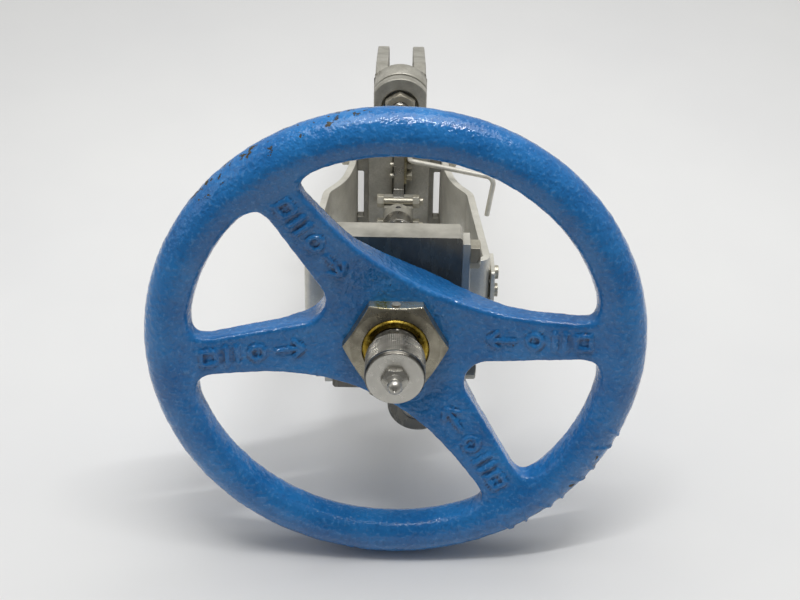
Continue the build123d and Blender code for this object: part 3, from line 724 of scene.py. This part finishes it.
def wheel_distance(p):
    """Distance to the whole casting, for points in upright millimetres."""
    x, y, z = p[..., 0], p[..., 1], p[..., 2]
    radius = np.hypot(x, y)
    spokes, marks = spoke_plan(x, y)
    plan = np.minimum(spokes, web_plan(x, y))
    plan = smooth_min(plan, np.abs(radius - RIM_R) - 0.8 * TUBE_R, WEB_TO_RIM)
    plan = np.maximum(plan, radius - RIM_R)
    face = np.interp(radius, FACE_RADII, FACE_TOPS)
    back = np.interp(radius, BACK_RADII, BACK_TOPS)
    slab = rounded_slab(plan, z - (face + back) / 2, (face - back) / 2, EDGE_R)
    rim = np.hypot(radius - RIM_R, z - RIM_Z) - TUBE_R
    casting = smooth_min(slab, rim, SPOKE_TO_RIM)
    raised = np.maximum(marks, np.abs(z - face) - MARK_H)
    casting = smooth_min(casting, raised, MARK_EDGE)
    for number in range(RIB_COUNT):
        casting = smooth_min(casting, rim_rib(x, y, z, rim, number), 1.0)
    return np.maximum(casting, BORE_R - radius)


def make_wheel():
    reach = RIM_R + TUBE_R + 3
    low = (-reach, -reach, HUB_BOTTOM - 3)
    high = (reach, reach, RIM_Z + TUBE_R + 3)
    points, faces = surface_net(wheel_distance, low, high, NET_STEP)
    points, outward = settle_on(wheel_distance, points)
    free = np.clip((np.hypot(points[:, 0], points[:, 1]) - HUB_SMOOTH_R) / HUB_BLEND, 0, 1)
    rough = roughen(points, outward, CAST_NOISE)
    points = points + (rough - points) * free[:, None]
    surface = SURFACES["blue_paint"]
    add_piece("wheel_casting", points, faces, surface, "turning", ("handwheel",), 60.0)


# ---- Stem, cap and grease nipple ----
def make_stem():
    """Plain spigot and neck below, trapezoidal left-hand thread above."""
    spigot_r, neck_r, neck_z = 5.9, 8.5, 136.0
    neck = [
        (spigot_r, STEM[4] + 1), (spigot_r, neck_z), (neck_r - 0.3, neck_z), (neck_r, neck_z + 0.4),
        (neck_r, STEM_SHOULDER_Z - 1.5), (neck_r + 1, STEM_SHOULDER_Z + 0.2),
    ]
    shape = Shape()
    shape.add(*lathe(neck, 64))
    points, faces = thread(
        STEM_R, STEM_THREAD_DEPTH, STEM_PITCH, STEM_SHOULDER_Z, STEM[5], left_hand=True, segments=72,
        per_pitch=16,
    )
    shape.add(points, faces)
    surface = SURFACES["stainless_thread"]
    shape.piece("stem_thread", surface, "rising", "stainless_thread", ("stem",), 30.0)


def cap_rows():
    """The cap from the bottom up, as (radius, z, knurled) rings, back down its hollow end."""
    bottom, top = CAP[4], CAP_TOP
    well_r = 3.1
    stem_r = 12.1
    rows = [(stem_r, bottom, False), (13.7, bottom, False), (CAP_R - 0.45, bottom + 1.3, False)]
    rows += [(CAP_R, z, True) for z in np.linspace(bottom + 1.6, top - 3.2, KNURL_ROWS)]
    plain = [
        (CAP_R - 0.25, top - 3.0), (CAP_R - 0.2, top - 1.5), (CAP_R - 0.45, top - 1.0), (14.0, top - 0.2),
        (13.6, top), (9.0, top), (well_r, top), (well_r, top - 5), (stem_r, top - 7.3),
    ]
    return rows + [(radius, z, False) for radius, z in plain]


def make_cap():
    """Knurled cylinder with chamfered ends and a faced front."""
    columns = KNURL_TEETH * 5
    angles = np.arange(columns) * 2 * math.pi / columns
    around = angles * KNURL_TEETH / (2 * math.pi)
    pitch = 2 * math.pi * CAP_R / KNURL_TEETH
    rows = cap_rows()
    points = []
    for radius, z, knurled in rows:
        ring = np.full(columns, float(radius))
        if knurled:
            one = np.abs(((around + z / pitch) % 1.0) - 0.5) * 2
            two = np.abs(((around - z / pitch) % 1.0) - 0.5) * 2
            ring -= KNURL_DEPTH * (1 - np.minimum(one, two))
        points += list(zip(ring * np.cos(angles), ring * np.sin(angles), np.full(columns, float(z))))
    faces = grid_faces(len(rows), columns)
    last = (len(rows) - 1) * columns
    faces += [(last + j, last + (j + 1) % columns, (j + 1) % columns, j) for j in range(columns)]
    surface = SURFACES["knurled_stainless"]
    add_piece("stem_cap_knurled", points, faces, surface, "rising", ("stem_cap",), 25.0)


def make_nipple():
    """Hex base, waisted shank and ball end with its small inlet."""
    shape = Shape()
    shape.add(*hex_solid(NIPPLE_FLATS, NIPPLE_HEX_H), shift=(0, 0, CAP_TOP))
    shank = [(3.0, -4.0), (3.0, 3.0), (4.7, 3.4), (4.6, 3.9), (4.2, 4.3), (3.1, 4.9), (2.8, 5.3), (2.8, 5.6)]
    ball = [(3.4, 6.1), (3.8, 6.9), (3.8, 7.8), (3.5, 8.8), (2.9, 9.8), (2.1, 10.5), (1.3, 10.9)]
    inlet = [(0.9, 10.95), (0.7, 10.6), (0.35, 10.3)]
    shape.add(*lathe([(r, CAP_TOP + z) for r, z in shank + ball + inlet], 48))
    surface = SURFACES["machined_stainless"]
    shape.piece("grease_fitting", surface, "rising", "machined_stainless", ("grease_nipple",), 28.0)


def make_studs():
    """The two gland studs, with their threads cut."""
    shape = Shape()
    x0, x1, y0, y1, z0, z1 = upright_box("gland_studs")
    radius = (x1 - x0) / 2
    points, faces = thread(
        radius, STUD_THREAD_DEPTH, STUD_PITCH, z0, z1, flat_share=0.2, segments=32, per_pitch=7
    )
    for y in (y0 + radius, y1 - radius):
        shape.add(points, faces, shift=(0, y, 0))
    surface = SURFACES["stainless_thread"]
    shape.piece("gland_stud_threads", surface, "root", "stainless_thread", ("gland_studs",))


# ---- CAD nodes that keep their shape ----
SLOTS = {part["node"]: part["material_slot"] for part in frame["record"]["subparts"]}
REPLACED = ("handwheel", "stem", "stem_cap", "grease_nipple", "gland_studs")
ROUNDING = {
    "body": 0.8,
    "gland": 0.8,
    "clevis": 0.1,
    "yoke_head": 0.5,
    "left_arm": 0.45,
    "right_arm": 0.45,
    "locking_lug": 0.7,
    "gate": 0.3,
    "scale_plate": 0.3,
    "pointer_bracket": 0.3,
}
PIERCED = ("body", "clevis")               # their flat faces have holes, so they stay in triangles
FASTENERS = (
    "gland_nuts", "arm_bolts", "head_bolts", "cover_screws", "lug_screws", "clevis_bolts", "clevis_nuts",
    "scale_screws", "lock_nut", "lock_screw", "pointer_screws",
)


def dress(node):
    """Gives a CAD node its surface and breaks its sharp edges."""
    piece = frame["nodes"][node]
    mesh = piece.data
    mesh.materials[0] = LOCK_NUT_SURFACE if node == "lock_nut" else SURFACES[SLOTS[node]]
    if "custom_normal" in mesh.attributes:
        mesh.attributes.remove(mesh.attributes["custom_normal"])
    mesh.polygons.foreach_set("use_smooth", [True] * len(mesh.polygons))
    weld = piece.modifiers.new("weld", "WELD")
    weld.merge_threshold = 2e-6
    if node not in PIERCED:
        flat = piece.modifiers.new("merge_flat_faces", "DECIMATE")
        flat.decimate_type = "DISSOLVE"
        flat.angle_limit = math.radians(0.5)
    bevel = piece.modifiers.new("broken_edges", "BEVEL")
    bevel.width = ROUNDING.get(node, 0.2) * MM
    bevel.segments = 2
    bevel.limit_method = "ANGLE"
    bevel.angle_limit = math.radians(20 if node in FASTENERS else 32)
    bevel.use_clamp_overlap = False
    normals = piece.modifiers.new("face_normals", "WEIGHTED_NORMAL")
    normals.keep_sharp = True


for node in frame["nodes"]:
    if node not in REPLACED:
        dress(node)
make_wheel()
make_stem()
make_cap()
make_nipple()
make_studs()


# ---- Floor, light and camera ----
def floor_line():
    """The floor plane in upright (z, y): it touches the wheel's rim and the body's lower shoulder."""
    body = frame["nodes"]["body"].data
    corners = np.array([(-v.co.y / MM, v.co.z / MM) for v in body.vertices])
    rim = (RIM_Z, -RIM_R)
    best = None
    for slope in np.linspace(0.0, 0.6, 1201):
        fall = TUBE_R * math.sqrt(1 + slope**2)
        height = rim[1] - fall + slope * rim[0]
        gap = (corners[:, 1] + slope * corners[:, 0]).min() - height
        if best is None or abs(gap) < best[0]:
            best = (abs(gap), slope, height)
    return best[1], best[2]


def make_floor():
    """One large sheet of paper that the valve lies on."""
    slope, height = floor_line()
    half = 4000.0
    drop = 0.3
    ends = ((-half, -half), (half, -half), (half, half), (-half, half))
    corners = [(x, height - slope * z - drop, z) for x, z in ends]
    mesh = bpy.data.meshes.new("floor")
    mesh.from_pydata(row(corners).tolist(), [], [(0, 1, 2, 3)])
    mesh.materials.append(floor_paper())
    sheet = bpy.data.objects.new("floor", mesh)
    bpy.context.scene.collection.objects.link(sheet)


LIGHTS = {
    # name: (place, where it points, (width, depth), watts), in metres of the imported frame
    "ceiling": ((0.05, -0.3, 1.5), (0.0, -0.15, 0.0), (1.8, 1.2), 18.0),
    "left_window": ((-1.4, -0.6, 0.7), (0.0, -0.2, 0.0), (0.9, 0.9), 1.5),
    "ceiling_strip": ((0.1, -0.65, 1.4), (0.0, -0.25, 0.0), (0.9, 0.03), 7.0),
}
ROOM_NEAR = (0.07, 0.07, 0.07, 1)
ROOM_FAR = (0.56, 0.56, 0.55, 1)
CAMERA_PLACE = (0.7, 394.9, 969.4)
CAMERA_DOWN_DEG = 28.07
CAMERA_PAN_DEG = -0.09
CAMERA_ROLL_DEG = 1.09


def make_light(name, place, aim, size, power):
    lamp = bpy.data.lights.new(name, "AREA")
    lamp.shape = "RECTANGLE"
    lamp.size, lamp.size_y = size
    lamp.energy = power
    holder = bpy.data.objects.new(name, lamp)
    holder.location = place
    holder.rotation_euler = (Vector(aim) - Vector(place)).to_track_quat("-Z", "Y").to_euler()
    bpy.context.scene.collection.objects.link(holder)


def make_world():
    """Pale room light, dimmer on the camera's side."""
    world = bpy.data.worlds.new("room")
    bpy.context.scene.world = world
    world.use_nodes = True
    tree = world.node_tree
    background = tree.nodes["Background"]
    coords = tree.nodes.new("ShaderNodeTexCoord")
    split = tree.nodes.new("ShaderNodeSeparateXYZ")
    ramp = tree.nodes.new("ShaderNodeValToRGB")
    shift = tree.nodes.new("ShaderNodeMapRange")
    shift.inputs["From Min"].default_value = -1.0
    tree.links.new(coords.outputs["Generated"], split.inputs["Vector"])
    tree.links.new(split.outputs["Y"], shift.inputs["Value"])
    tree.links.new(shift.outputs["Result"], ramp.inputs["Fac"])
    ramp.color_ramp.elements[0].color = ROOM_NEAR
    ramp.color_ramp.elements[1].color = ROOM_FAR
    tree.links.new(ramp.outputs["Color"], background.inputs["Color"])
    background.inputs["Strength"].default_value = 1.0


def make_camera():
    camera = bpy.data.cameras.new("camera")
    camera.lens = 72.0
    camera.sensor_width = 36.0
    camera.clip_end = 50.0
    holder = bpy.data.objects.new("camera", camera)
    holder.location = row([CAMERA_PLACE])[0]
    pan = Matrix.Rotation(math.radians(CAMERA_PAN_DEG), 3, "Z")
    tilt = Matrix.Rotation(math.radians(90 - CAMERA_DOWN_DEG), 3, "X")
    roll = Matrix.Rotation(math.radians(CAMERA_ROLL_DEG), 3, "Z")
    holder.rotation_euler = (pan @ tilt @ roll).to_euler()
    bpy.context.scene.collection.objects.link(holder)
    bpy.context.scene.camera = holder


make_floor()
make_world()
for name, (place, aim, size, power) in LIGHTS.items():
    make_light(name, place, aim, size, power)
make_camera()
bpy.context.scene.view_settings.view_transform = "Standard"
